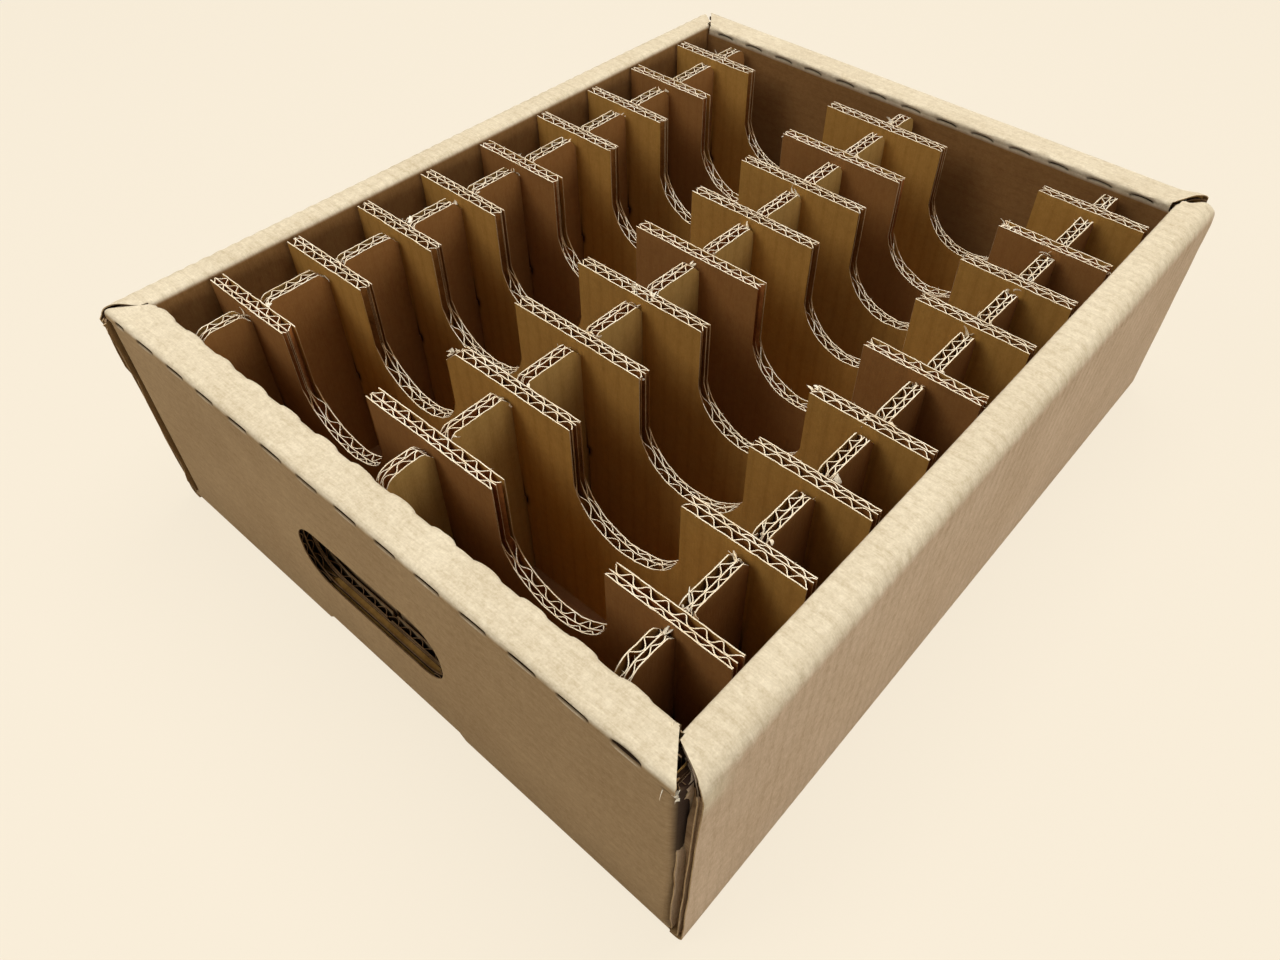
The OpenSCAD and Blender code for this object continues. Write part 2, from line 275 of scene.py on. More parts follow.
# Flute hollows and inner layers are painted near black, as painted shade
PAINTED_SHADE_CORE = torn_paper("flute_hollow_painted_shade", colour(46, 29, 13), colour(26, 16, 8), 300.0)
CRUMB = torn_paper("torn_fluff", colour(244, 236, 216), colour(214, 196, 160), 600.0)


# Meshes

def new_object(name, data):
    made = bpy.data.objects.new(name, data)
    bpy.context.scene.collection.objects.link(made)
    return made


def new_mesh(name, points, faces, finishes, which=None, sheet=None, marks=None):
    """A mesh in metres, with its finishes, its sheet map and its point marks."""
    mesh = bpy.data.meshes.new(name)
    mesh.from_pydata((np.asarray(points) * MM).tolist(), [], [tuple(f) for f in faces])
    for finish in finishes:
        mesh.materials.append(finish)
    if which is not None:
        mesh.polygons.foreach_set("material_index", np.asarray(which, dtype=np.int32))
    if sheet is not None:
        corners = np.empty(len(mesh.loops), dtype=np.int32)
        mesh.loops.foreach_get("vertex_index", corners)
        layer = mesh.uv_layers.new(name="sheet")
        layer.data.foreach_set("uv", (np.asarray(sheet) * MM)[corners].astype(np.float32).ravel())
    for label, values in (marks or {}).items():
        mesh.attributes.new(label, "FLOAT", "POINT").data.foreach_set("value", values.astype(np.float32))
    mesh.update()
    return mesh


def soften(mesh):
    """Smooth shading that stops at real edges."""
    mesh.polygons.foreach_set("use_smooth", np.ones(len(mesh.polygons), dtype=bool))
    mesh.set_sharp_from_angle(angle=SHARP_ANGLE)
    mesh.update()
    return mesh


def join(pieces):
    """Makes several pieces one, the first of them."""
    with bpy.context.temp_override(active_object=pieces[0], object=pieces[0],
                                   selected_objects=pieces, selected_editable_objects=pieces):
        bpy.ops.object.join()
    return pieces[0]


def joined(name, meshes):
    """Several meshes as one piece."""
    piece = join([new_object(f"{name}.{k}", mesh) for k, mesh in enumerate(meshes)])
    piece.name = piece.data.name = name
    return piece


def settled(piece, *tools):
    """The plain mesh that a piece's modifiers make. The piece and its tools are removed."""
    seen = piece.evaluated_get(bpy.context.evaluated_depsgraph_get())
    made = bpy.data.meshes.new_from_object(seen)
    for extra in (piece, *tools):
        bpy.data.objects.remove(extra)
    return made


def grid_faces(m, n):
    """Faces of a grid of points, m rows of n."""
    at = np.arange(m * n).reshape(m, n)
    return np.stack([at[:-1, :-1], at[1:, :-1], at[1:, 1:], at[:-1, 1:]], -1).reshape(-1, 4)


def closed_sheet(outer, inner, row_kind=None):
    """Points and faces of a sheet between two grids of points; faces come as outer, inner, edge.
    Rows of outer faces may have a kind of their own."""
    m, n = outer.shape[:2]
    points = np.concatenate([outer.reshape(-1, 3), inner.reshape(-1, 3)])
    at = np.arange(m * n).reshape(m, n)
    top = grid_faces(m, n)
    low = top[:, [0, 3, 2, 1]] + m * n
    runs = ((at[0, :-1], at[0, 1:]), (at[-1, 1:], at[-1, :-1]),
            (at[1:, 0], at[:-1, 0]), (at[:-1, -1], at[1:, -1]))
    rim = np.concatenate([np.stack([p, q, q + m * n, p + m * n], -1) for p, q in runs])
    faces = np.concatenate([top, low, rim])
    which = np.repeat([0, 1, 2], [len(top), len(low), len(rim)])
    if row_kind is not None:
        which[:len(top)] = np.repeat(row_kind, n - 1)
    i, j = m // 2 - (m == 2), n // 2 - (n == 2)
    side = np.cross(outer[i + 1, j] - outer[i, j], outer[i, j + 1] - outer[i, j])
    if np.dot(side, outer[i, j] - inner[i, j]) < 0:
        faces = faces[:, ::-1]
    return points, faces, which


def twice(grid):
    """The values of a grid for both faces of a sheet."""
    return np.tile(grid.ravel(), 2)


# Trees that make sheets and fibres

def new_tree(name, sizes):
    """A tree with named inputs, its graph and its input sockets."""
    tree = bpy.data.node_groups.new(name, "GeometryNodeTree")
    tree.interface.new_socket("Geometry", in_out="INPUT", socket_type="NodeSocketGeometry")
    for label, kind in sizes.items():
        tree.interface.new_socket(label, in_out="INPUT", socket_type="NodeSocket" + kind)
    tree.interface.new_socket("Geometry", in_out="OUTPUT", socket_type="NodeSocketGeometry")
    g = Graph(tree)
    return tree, g, g.add("NodeGroupInput").outputs


def corrugator():
    """Gives flat blanks their flute wave, across Y, and their thickness."""
    tree, g, start = new_tree("corrugator", {
        "Wave Length": "Float", "Wave Height": "Float", "Sheet Thickness": "Float", "Unevenness": "Float",
        "Seed": "Float", "Face Finish": "Material", "Edge Finish": "Material",
        "Upright Edge Finish": "Material"})
    along = g.out("GeometryNodeInputNamedAttribute", {"Name": "along"}, "Attribute", data_type="FLOAT")

    def uneven(rate, seed, detail):
        wave = g.out("ShaderNodeTexNoise", {"W": g.plus(seed, (along, rate)), "Scale": 1.0, "Detail": detail},
                     noise_dimensions="1D")
        return g.math("SUBTRACT", wave, 0.5)

    stir = uneven(55.0, start["Seed"], 1.0)
    swell = uneven(120.0, g.math("ADD", start["Seed"], 31.7), 2.0)
    drift = g.math("MULTIPLY", stir, g.math("MULTIPLY", start["Unevenness"], 14.0))
    turn = g.plus(drift, (g.math("DIVIDE", along, start["Wave Length"]), 2 * math.pi))
    lean = g.plus(turn, (g.math("COSINE", turn), 0.3))
    flatter = 0.5
    small = g.math("MULTIPLY", g.math("SINE", lean), flatter)
    bend = g.math("DIVIDE", g.math("ARCSINE", small), math.asin(flatter))
    gain = g.plus(1.0, (swell, start["Unevenness"]))
    lift = g.math("MULTIPLY", g.math("MULTIPLY", bend, gain), g.math("MULTIPLY", start["Wave Height"], 0.5))
    offset = g.out("ShaderNodeCombineXYZ", {1: lift})
    waved = g.out("GeometryNodeSetPosition", {"Geometry": start["Geometry"], "Offset": offset})
    thick = g.add("GeometryNodeExtrudeMesh", {"Mesh": waved, "Offset Scale": start["Sheet Thickness"],
                                              "Individual": False}, mode="FACES").outputs
    edged = g.painted(thick["Mesh"], start["Face Finish"])
    edged = g.painted(edged, start["Edge Finish"], Selection=thick["Side"])
    # Upright edge faces take their own finish; on dividers it is a darker copy of the cut edge, as painted
    # shade
    upright = g.both(thick["Side"], g.facing_up("LESS_THAN", 0.55))
    edged = g.painted(edged, start["Upright Edge Finish"], Selection=upright)
    back = g.painted(g.out("GeometryNodeFlipFaces", {"Mesh": waved}), start["Face Finish"])
    whole = g.add("GeometryNodeJoinGeometry", {0: edged})
    g.feed(whole, {0: back})
    closed = g.out("GeometryNodeMergeByDistance", {"Geometry": whole.outputs[0], "Distance": 1e-6})
    g.add("NodeGroupOutput", {"Geometry": g.out("GeometryNodeRealizeInstances", {"Geometry": closed})})
    return tree


def cut_fibres():
    """Loose paper fibres that stand up from cut edges."""
    tree, g, start = new_tree("cut_fibres", {
        "Edge Finish": "Material", "Fibres Per Area": "Float", "Fibre Length": "Float",
        "Fibre Width": "Float", "Seed": "Int"})
    edge = g.out("GeometryNodeMaterialSelection", {"Material": start["Edge Finish"]})
    spots = g.out("GeometryNodeDistributePointsOnFaces", {
        "Mesh": start["Geometry"], "Selection": g.both(edge, g.facing_up("GREATER_THAN", 0.15)),
        "Density": start["Fibres Per Area"], "Seed": start["Seed"]}, "Points")
    fibre = g.out("GeometryNodeMeshCone", {
        "Vertices": 3, "Radius Top": 0.0, "Radius Bottom": start["Fibre Width"],
        "Depth": start["Fibre Length"]}, "Mesh")
    tilt = 1.3
    lean = g.out("FunctionNodeRandomValue", {
        0: (-tilt, -tilt, 0.0), 1: (tilt, tilt, 6.28), "Seed": start["Seed"]}, data_type="FLOAT_VECTOR")
    size = g.out("FunctionNodeRandomValue", {2: 0.35, 3: 1.3, "Seed": start["Seed"]}, 1, data_type="FLOAT")
    placed = g.out("GeometryNodeInstanceOnPoints", {"Points": spots, "Instance": fibre, "Rotation": lean,
                                                    "Scale": size})
    plain = g.out("GeometryNodeRealizeInstances", {"Geometry": placed})
    g.add("NodeGroupOutput", {"Geometry": g.painted(plain, start["Edge Finish"])})
    return tree


CORRUGATOR = corrugator()
FIBRES = cut_fibres()


def run_tree(tree, mesh, sizes):
    """The plain mesh that a tree makes from a blank."""
    blank = new_object("blank", mesh)
    modifier = blank.modifiers.new("make", "NODES")
    modifier.node_group = tree
    for item in tree.interface.items_tree:
        if item.item_type == "SOCKET" and item.in_out == "INPUT" and item.name in sizes:
            modifier[item.identifier] = sizes[item.name]
    return settled(blank)


def corrugated(blank, wave, height, thickness, seed, face_finish, edge_finish, upright_finish, uneven):
    return run_tree(CORRUGATOR, blank, {
        "Wave Length": wave * MM, "Wave Height": height * MM, "Sheet Thickness": thickness * MM,
        "Unevenness": uneven, "Seed": float(seed), "Face Finish": face_finish, "Edge Finish": edge_finish,
        "Upright Edge Finish": upright_finish})


def blank_mesh(name, points, along, **marks):
    """A flat blank for the corrugator, from a grid of points."""
    flat = points.reshape(-1, 3)
    return new_mesh(name, flat, grid_faces(*points.shape[:2]), [], sheet=flat[:, [0, 2]],
                    marks={"along": along * MM, **marks})


# Dividers

def stations(half, step, steps_at):
    """Places along a board, with a pair of places at each upright cut."""
    clear, beside = 0.06, 0.012
    steps_at = np.array(steps_at)
    base = np.arange(-half, half, step)
    base = base[np.min(np.abs(base[:, None] - steps_at[None, :]), axis=1) > clear]
    return np.unique(np.concatenate([base, steps_at - beside, steps_at + beside, [-half, half]]))


def slot_shade(u, z):
    """Painted shade beside the upper ends of a cross divider's slots, where their gaps lie in shadow."""
    shade = np.zeros(np.broadcast_shapes(u.shape, z.shape))
    for x in LONG_XS:
        beside = np.abs(u - x) - SLOT_W / 2 - SLOT_EASE
        shade = np.maximum(shade, np.exp(-(beside / 1.9) ** 2 - ((z - CROSSING_Z + 0.5) / 3.2) ** 2))
    return np.clip(1.5 * shade, 0, 1)


def cross_outline(u, number):
    """Lower and upper edge of a cross divider at each place across the tray."""
    low = np.full_like(u, CROSS_LOW)
    for x in LONG_XS:
        low = np.where(np.abs(u - x) < SLOT_W / 2 + SLOT_EASE, CROSSING_Z + SLOT_PLAY, low)
    top = np.full_like(u, CROSS_TOP)
    floor = CROSS_TOP - SCOOP_DEPTH + SCOOP_R
    for x in SCOOP_XS:
        inside = np.abs(u - x) < SCOOP_W / 2
        top = np.where(inside, floor - np.sqrt(np.maximum(SCOOP_R ** 2 - (u - x) ** 2, 0)), top)
    if number == TORN_EAR:
        ear = -SCOOP_X + SCOOP_W / 2
        torn = (u > ear) & (u < ear + EAR_SIZE)
        top = np.where(torn, CROSS_TOP - EAR_SIZE + (u - ear), top)
    return low, top


CROSS_STEPS = sorted([x + s * (SLOT_W / 2 + SLOT_EASE) for x in LONG_XS for s in (-1, 1)]
                     + [x + s * SCOOP_W / 2 for x in SCOOP_XS for s in (-1, 1)])


def mouth_height(away):
    """Height of the torn mouth of a long divider's slot, at a distance from the slot's middle."""
    return LONG_TOP - MOUTH_H * (1 - (away - SLOT_W / 2) / MOUTH_W)


def long_outline(u, near_round):
    """Lower and upper edge of a long divider; u runs toward the near end."""
    low = np.full_like(u, CROSS_LOW)
    top = np.full_like(u, LONG_TOP)
    for y in CROSS_Y:
        away = np.abs(u + y)
        top = np.where(away < SLOT_W / 2 + MOUTH_W, np.minimum(top, mouth_height(away)), top)
        top = np.where(away < SLOT_W / 2, CROSSING_Z - SLOT_PLAY, top)
    r = np.where(u > 0, near_round, LONG_END_R)
    into = np.maximum(np.abs(u) - (LONG_L / 2 - r), 0)
    top = np.minimum(top, LONG_TOP - r + np.sqrt(np.maximum(r ** 2 - into ** 2, 0)))
    return low, top


LONG_STEPS = sorted(-y + s * SLOT_W / 2 for y in CROSS_Y for s in (-1, 1))


def sheet_blank(u, low, top, at, flare, source, outer, shaded):
    """A flat blank of one sheet of a divider, standing upright at the given depth."""
    n = len(u)
    rough = RAGGED * np.where(top < top.max() - 8.0, SCOOP_ROUGHER, 1.0)
    edge = top + rough * wander(n, 3, source) + 0.5 * rough * source.uniform(-1, 1, n)
    by_slot_ends = (0.42, 0.45, 0.475, 0.505) if shaded else ()
    shelf = (SHELF, 2.4, 0.9, 0.0) if outer else (SHELF, 1.6, 0.0)
    z = np.stack([low] + [low + (edge - SHELF - low) * s for s in by_slot_ends] + [edge - d for d in shelf])
    lean = flare * wander(n, 9, source) + 0.4 * flare * wander(n, 3, source)
    w = np.full_like(z, at)
    for row, part in ((-1, 1.0), (-2, 0.7), (-3, 0.25)):
        w[row] += part * lean
    u = np.broadcast_to(u, z.shape)
    # Painted shade beside the slots, on the outer amber liners only
    dark = slot_shade(u.ravel(), z.ravel()) * shaded
    return blank_mesh("sheet", np.stack([u, w, z], -1), u.ravel(), slit=dark)


def divider_sheets(half, steps_at, more_places, outline, turned, seed, face):
    """The five sheets of a double-wall divider, large flutes toward the front unless it is turned."""
    source = np.random.default_rng(seed)
    u_fluted = stations(half, FLUTED_STEP, steps_at)
    u_plain = np.unique(np.concatenate([stations(half, PLAIN_STEP, steps_at), more_places]))
    front = -DIV_T / 2
    large = front + LINER_T + LARGE_FLUTE / 2
    middle = front + LINER_T + LARGE_FLUTE
    small = middle + LINER_T + SMALL_FLUTE / 2
    back = DIV_T / 2 - LINER_T
    inside = RUST_MEDIUM if turned else MEDIUM
    sheets = [("liner", front, LINER_T, 0.10, LARGE_WAVE, face),
              ("medium", large, MEDIUM_T, LARGE_FLUTE - MEDIUM_T, LARGE_WAVE, inside),
              ("liner", middle, LINER_T, 0.05, LARGE_WAVE, inside),
              ("medium", small, MEDIUM_T, SMALL_FLUTE - MEDIUM_T, SMALL_WAVE, inside),
              ("liner", back, LINER_T, 0.08, SMALL_WAVE, CHESTNUT_LINER)]
    made = []
    for k, (kind, at, thick, height, wave, finish) in enumerate(sheets):
        liner, outer = kind == "liner", k in (0, 4)
        u = u_plain if liner else u_fluted
        drop, flare, uneven = (0.0, FLARE, 0.02) if liner else (0.2, 0.5 * FLARE, 0.12)
        low, top = outline(u)
        start = at if liner else at - thick / 2
        if turned:
            start = -at - thick if liner else -at - thick / 2
            height = -height
        blank = sheet_blank(u, low, top - drop, start, flare, source, outer, outer and face is AMBER_LINER)
        made.append(corrugated(blank, wave, height, thick, seed * 7.3 + k * 3.1, finish, CUT_EDGE,
                               SHADED_UPRIGHT_EDGE, uneven))
    return made


def sliver(start, heading, length, width, curl, source):
    """A curled flake of torn paper, as a thin closed sheet."""
    heading = np.asarray(heading, dtype=float) / np.linalg.norm(heading)
    aside = np.cross(heading, source.normal(size=3))
    aside /= np.linalg.norm(aside)
    lift = np.cross(aside, heading)
    t = np.linspace(0, 1, 5)
    spine = (np.asarray(start)[None] + np.outer(np.sin(curl * t) / curl * length, heading)
             + np.outer((1 - np.cos(curl * t)) / curl * length, lift))
    half = width / 2 * (1 - 0.75 * t ** 1.5) * source.uniform(0.8, 1.2, len(t))
    top = np.stack([spine - half[:, None] * aside, spine + half[:, None] * aside], 1)
    points, faces, _ = closed_sheet(top, top - SLIVER_T * lift)
    finish = CRUMB if source.random() < 0.45 else CUT_EDGE
    return new_mesh("sliver", points, faces, [finish], np.zeros(len(faces)))


def torn_spot(place, count, reach, source, lean=(0.0, 0.0, 0.5)):
    """Several slivers about one torn place."""
    made = []
    for _ in range(count):
        start = np.asarray(place) + source.normal(size=3) * [0.8, 1.2, 0.5]
        heading = source.normal(size=3) + np.asarray(lean)
        made.append(sliver(start, heading, reach * source.uniform(0.5, 1.3), source.uniform(0.5, 2.0),
                           source.uniform(0.4, 2.4), source))
    return made


def finish_divider(name, meshes, matrix, seed):
    """Puts a divider's sheets and slivers in place as one piece, with fibres on its cut edges."""
    for mesh in meshes:
        mesh.transform(matrix)
        soften(mesh)
    piece = joined(name, meshes)
    fibres = run_tree(FIBRES, piece.data.copy(), {
        "Edge Finish": CUT_EDGE, "Fibres Per Area": 0.9e5, "Fibre Length": 1.5 * MM, "Fibre Width": 0.1 * MM,
        "Seed": seed})
    piece = join([piece, new_object(piece.name + ".extra", fibres)])
    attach(piece, "root")
    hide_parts(name)


# Torn places on the cross dividers: where across, how high, how many slivers and how long
CROSS_WEAR = {2: ((-35.0, 119.0, 4, 3.0), (-31.5, 121.5, 3, 2.0)), 3: ((36.5, 121.5, 2, 2.0),),
              4: ((-4.0, 121.0, 6, 4.0), (5.0, 121.5, 5, 3.5), (94.0, 121.0, 6, 3.5), (118.0, 121.5, 3, 2.5)),
              5: ((147.0, 119.0, 5, 3.5), (96.0, 121.0, 2, 2.0)), 6: ((-4.0, 121.0, 3, 3.0),),
              8: ((94.5, 121.0, 6, 4.0), (147.0, 120.0, 4, 3.0), (-36.0, 120.5, 4, 3.0),
                  (100.0, 121.8, 3, 2.5))}


def cross_divider(number):
    by_slots = [x + s * (SLOT_W / 2 + SLOT_EASE + away) for x in LONG_XS for s in (-1, 1)
                for away in (0.5, 1.1, 1.8, 2.6, 3.5)]
    meshes = divider_sheets(CROSS_W / 2, CROSS_STEPS, by_slots, lambda u: cross_outline(u, number),
                            number in TURNED, 100 + number, AMBER_LINER)
    source = np.random.default_rng(500 + number)
    for x, z, count, reach in CROSS_WEAR.get(number, ()):
        meshes += torn_spot((x, 0.0, z), count, reach, source)
    finish_divider(f"cross_divider_{number}", meshes,
                   Matrix.Translation((0, CROSS_Y[number - 1] * MM, 0)), number)


def long_divider(name, x, turned, seed, near_round=LONG_END_R):
    meshes = divider_sheets(LONG_L / 2, LONG_STEPS, [], lambda u: long_outline(u, near_round), turned, seed,
                            STRAW_LINER)
    source = np.random.default_rng(600 + seed)
    for y in CROSS_Y:
        for way, chance in ((1, 0.9), (-1, 0.75)):
            if source.random() < chance:
                away = SLOT_W / 2 + source.uniform(0.6, MOUTH_W)
                spot = (-y + way * away, 0.0, mouth_height(away))
                meshes += torn_spot(spot, source.integers(3, 7), 4.6, source, (-0.8 * way, 0.0, 0.4))
        if source.random() < 0.75:
            corner = (-y - SLOT_W / 2 - source.uniform(2.6, 4.6), DIV_T / 2 - 0.2, LONG_TOP - 0.9)
            heading = (source.uniform(0.1, 0.9), 0.7, source.uniform(-0.2, 0.5))
            meshes.append(sliver(corner, heading, source.uniform(2.5, 4.5), source.uniform(1.4, 3.0),
                                 source.uniform(0.4, 1.5), source))
    place = Matrix.Translation((x * MM, 0, 0)) @ Matrix.Rotation(-math.pi / 2, 4, "Z")
    finish_divider(name, meshes, place, seed)


# Folded walls of the tray

# A place on a wall's section: on a flat or a fold, its point (d, z), its outward normal and what it lies on
Place = namedtuple("Place", "kind point normal facts")


def flat_places(first, last, step, bent_before, bent_after):
    """Places along a flat, close together beside a fold. Short flats are divided by the millimetre."""
    beside, clear = np.array([0.0, 0.45, 0.9, 1.4, 2.0, 3.0, 4.5]), 5.5
    short = last - first <= 12
    places = list(np.linspace(first, last, max(2, int(round((last - first) / (1.0 if short else step))) + 1)))
    if not short:
        places = [s for s in places if (not bent_before or s > first + clear)
                  and (not bent_after or s < last - clear)]
        places += list(first + beside) if bent_before else [first]
        places += list(last - beside) if bent_after else [last]
    return np.unique(np.round(places, 4))


def rounded_path(corners, flat_step, arc_steps):
    """Places on a folded section with right-angled corners (d, z, r)."""
    path = []
    for k in range(len(corners) - 1):
        a, b = np.array(corners[k][:2]), np.array(corners[k + 1][:2])
        length = np.linalg.norm(b - a)
        e = (b - a) / length
        normal = np.array([e[1], -e[0]])
        bent = (k > 0, k < len(corners) - 2)
        for s in flat_places(corners[k][2], length - corners[k + 1][2], flat_step, *bent):
            path.append(Place("flat", a + s * e, normal, (a, e, length, s, *bent)))
        if bent[1]:
            c = np.array(corners[k + 2][:2])
            e2 = (c - b) / np.linalg.norm(c - b)
            n2 = np.array([e2[1], -e2[0]])
            r = corners[k + 1][2]
            centre = b - r * e + r * e2
            for f in np.linspace(0, math.pi / 2, arc_steps + 2)[1:-1]:
                n = normal * math.cos(f) + n2 * math.sin(f)
                path.append(Place("fold", centre + r * n, n, (b, normal, n2, centre, r)))
    return path


def path_at_depth(path, t):
    """The section's points at a depth below its outer face."""
    points = []
    for kind, _, normal, facts in path:
        if kind == "flat":
            a, e, length, s, bent_before, bent_after = facts
            s = max(s, t) if bent_before else s
            s = min(s, length - t) if bent_after else s
            points.append(a + s * e - t * normal)
        else:
            corner, n1, n2, centre, r = facts
            points.append(centre + (r - t) * normal if r > t + 0.2 else corner - t * (n1 + n2))
    return np.array(points)


def path_lengths(path):
    """The distance along a section of each of its places."""
    points = np.array([p.point for p in path])
    return np.concatenate([[0], np.cumsum(np.linalg.norm(np.diff(points, axis=0), axis=1))])


def row_kinds(path):
    """The finish of each row of a wall's outer faces: the inner panel has one of its own, painted darker as
    shade.
    """
    return [3 if p.normal[0] > 0.8 else 0 for p in path][:-1]


def wall_corners(fold, under):
    """Corners of a wall's section, from the foot of its inner panel over the rim to the base."""
    return [(WALL, FLAP_LOW, 0), (WALL, TRAY_H, INNER_FOLD), (0, TRAY_H, fold),
            (0, 0, BASE_FOLD), (under, 0, 0)]


SIDE_PATH = rounded_path(wall_corners(SIDE_FOLD, SIDE_UNDER), 4.6, 8)
END_PATH = rounded_path(wall_corners(END_FOLD, END_UNDER), 12.0, 11)
END_CORE_PATH = rounded_path(wall_corners(END_FOLD, END_UNDER), 30.0, 4)


def rim_share(normal):
    """How much a place on a section faces upward, where it is painted paler as lit."""
    return float(ramp(normal[1], 0.12, 0.45))


def side_reach(point, normal, lean, proud):
    """How far a place on a long side's section runs toward an end, whose cut edge may lean or stand proud."""
    d, z = point
    if normal[0] > 0.5 and z > FOOT_Z:
        return SIDE_INNER if z < FLAP_HIGH else SIDE_INNER_TOP
    if z > UPPER_Z and (normal[1] > 0.01 or z > RIM_Z):
        return float(np.interp(d, [0, WALL], [SIDE_RIM[0] - 0.75 * lean + proud, SIDE_RIM[1]]))
    if z < BASE_FOLD:
        return SIDE_PANEL + 0.15 * lean + proud if d < 6.05 else SIDE_BASE
    return SIDE_PANEL + 0.15 * lean - lean * z / RIM_Z + proud + (0.9 * proud if z > 86 else 0.0)


def cut_back(kind, lining, on_panel, source):
    """How far a layer of a long side stands back from the cut edge at each row."""
    rows = len(on_panel)
    if kind == "flute":
        return np.where(on_panel, np.maximum(1.0 + 2.4 * wander(rows, 5, source), 0.4), 2.4)
    if lining:
        return np.where(on_panel, -0.2 - 1.3 * np.abs(wander(rows, 3, source)), 0.0)
    return np.where(on_panel, 0.35 * wander(rows, 3, source), 0.0)


def washboard(y, sway, shiver, peeled):
    """Shifts across and up that give a long side's outer liner its ripple, deeper beside a peeled edge."""
    shift = np.zeros((2, *y.shape))
    for k, (_, point, normal, _) in enumerate(SIDE_PATH):
        ripple = np.interp(point[1], [70, 100, 116, 124], [0.012, 0.06, 0.15, 0.16])
        if normal[0] > 0.5:
            ripple = 0.015
        if normal[1] < -0.3:
            ripple = 0.0
        if peeled:
            ripple = ripple * (1 + ramp(-y[k], -40, 150))
        wave = ripple * np.cos(2 * math.pi * y[k] / RIPPLE + 0.7 * shiver) * (1 + 0.6 * shiver)
        soft = sway if point[1] > UPPER_Z else 0 * sway
        shift[0, k] = normal[0] * (wave + soft * 0.6)
        shift[1, k] = normal[1] * (wave + soft * 0.35) * (normal[1] > 0)
    return shift


def long_side(name, half_turn, seed, leans, prouds):
    """A long wall: outer panel, rim strip with its washboard ripple, and inner panel.
    The cut edges at its two ends may lean or stand proud."""
    source = np.random.default_rng(seed)
    rows = len(SIDE_PATH)
    height = np.array([p.point[1] for p in SIDE_PATH])
    facing = np.array([p.normal[0] for p in SIDE_PATH])
    on_panel = (facing < -0.5) & (height > 9)
    reach = [np.array([side_reach(p.point, p.normal, *edge) for p in SIDE_PATH])
             for edge in zip(leans, prouds)]
    loose = np.interp(height, [0, 30, 60, 71, 77, 95, 107, 114], [0.3, 0.9, 1.4, 0.9, 2.7, 3.1, 2.2, 0.5])
    peeled = leans[1] > PEEL_LEAN
    fine, tail = np.arange(-SIDE_EVEN, SIDE_EVEN + 0.01, RIPPLE / 4.4), 9
    sway = 0.4 * wander(len(fine) + 2 * tail, 40, source)
    shiver = wander(len(fine) + 2 * tail, 8, source)
    meshes = []
    for kind, low, high in TRAY_LAYERS:
        skin, lining = low == 0.0, high == BOARD
        columns = fine if skin else np.linspace(-SIDE_EVEN, SIDE_EVEN, 3)
        ends = [side - cut_back(kind, lining, on_panel, source) for side in reach]
        by_end = tail if skin or lining else 2
        y = np.stack([np.concatenate([np.linspace(-a, columns[0], by_end, endpoint=False), columns,
                                      np.linspace(columns[-1], b, by_end + 1)[1:]]) for a, b in zip(*ends)])
        peel = []
        for lean in leans:
            amount = loose * (1.0 if lean > PEEL_LEAN else 0.35) + 0.35 * wander(rows, 3, source)
            peel.append(np.where(on_panel, amount, 0.0)[:, None])
        shift = washboard(y, sway, shiver, peeled) if skin else np.zeros((2, *y.shape))
        if lining:
            shift[0] = np.where(y < 0, peel[0] * np.clip(1 - (y + ends[0][:, None]) / 5.0, 0, 1) ** 1.5,
                                peel[1] * np.clip(1 - (ends[1][:, None] - y) / 5.0, 0, 1) ** 1.5)
        grids = []
        for depth in (low, high):
            section = path_at_depth(SIDE_PATH, depth)
            grids.append(np.stack([-HALF_W + (section[:, :1] + shift[0]), y, section[:, 1:] + shift[1]], -1))
        points, faces, which = closed_sheet(*grids, row_kinds(SIDE_PATH) if skin else None)
        finishes = ([SIDE_LINER, BACK_LINER, TRAY_CUT, SHADED_INSIDE_LINER, PAINTED_SHADE_CORE] if kind == "liner"
                    else [PAINTED_SHADE_CORE, PAINTED_SHADE_CORE, CUT_FLUTE, PAINTED_SHADE_CORE, PAINTED_SHADE_CORE])
        if not skin:
            # The upper cut ends of the inner layers are painted in the near-black core, as painted shade
            which = np.where((which == 2) & (points[faces, 2].mean(axis=1) > 116.5), 4, which)
        # Upward faces are painted paler as lit; beside a peeled end the top of the outer panel is worn paler.
        rim = np.array([rim_share(p.normal) for p in SIDE_PATH])[:, None] * np.ones(y.shape)
        if peeled:
            uneven = 2.0 * wander(rows, 3, source)[:, None]
            paler = ramp(height, 103, 9)[:, None] * ramp(y + uneven, SIDE_EVEN, 12)
            rim = np.maximum(rim, paler * (facing[:, None] < 0))
        sheet = np.stack([twice(y), twice(np.broadcast_to(path_lengths(SIDE_PATH)[:, None], y.shape))], -1)
        if half_turn:
            points = points * np.array([-1.0, -1.0, 1.0])
        mesh = new_mesh(name, points, faces, finishes, which, sheet, {"rim": twice(rim)} if skin else None)
        meshes.append(soften(mesh))
    return joined(name, meshes)


# Ends with their rims and the slits in them

def slit_shape(x, count, shift, source):
    """Opening of the slits at each place along a fold, from 0 to 1."""
    opening = np.zeros_like(x)
    for middle in (np.arange(count) - (count - 1) / 2) * SLIT_PITCH + shift:
        half = SLIT_LENGTH / 2 * source.uniform(0.94, 1.06)
        t = (x - middle - source.uniform(-0.4, 0.4)) / half
        opening = np.maximum(opening, np.sqrt(np.maximum(1 - t * t, 0)) * source.uniform(0.8, 1.1))
    return opening


# Columns along an end, and those that run round its upright folds into the corner flaps
END_MIDDLE = np.arange(-END_EVEN, END_EVEN + 0.01, 1.15)
END_TAIL = np.concatenate([[148.5, 150.0, 152.0, 154.0, END_TURN], END_TURN + END_ARC * np.arange(1, 9) / 8,
                           END_TURN + END_ARC + np.array([5.0, 25.0, 55.0, CORNER_FLAP - CORNER_FOLD])])


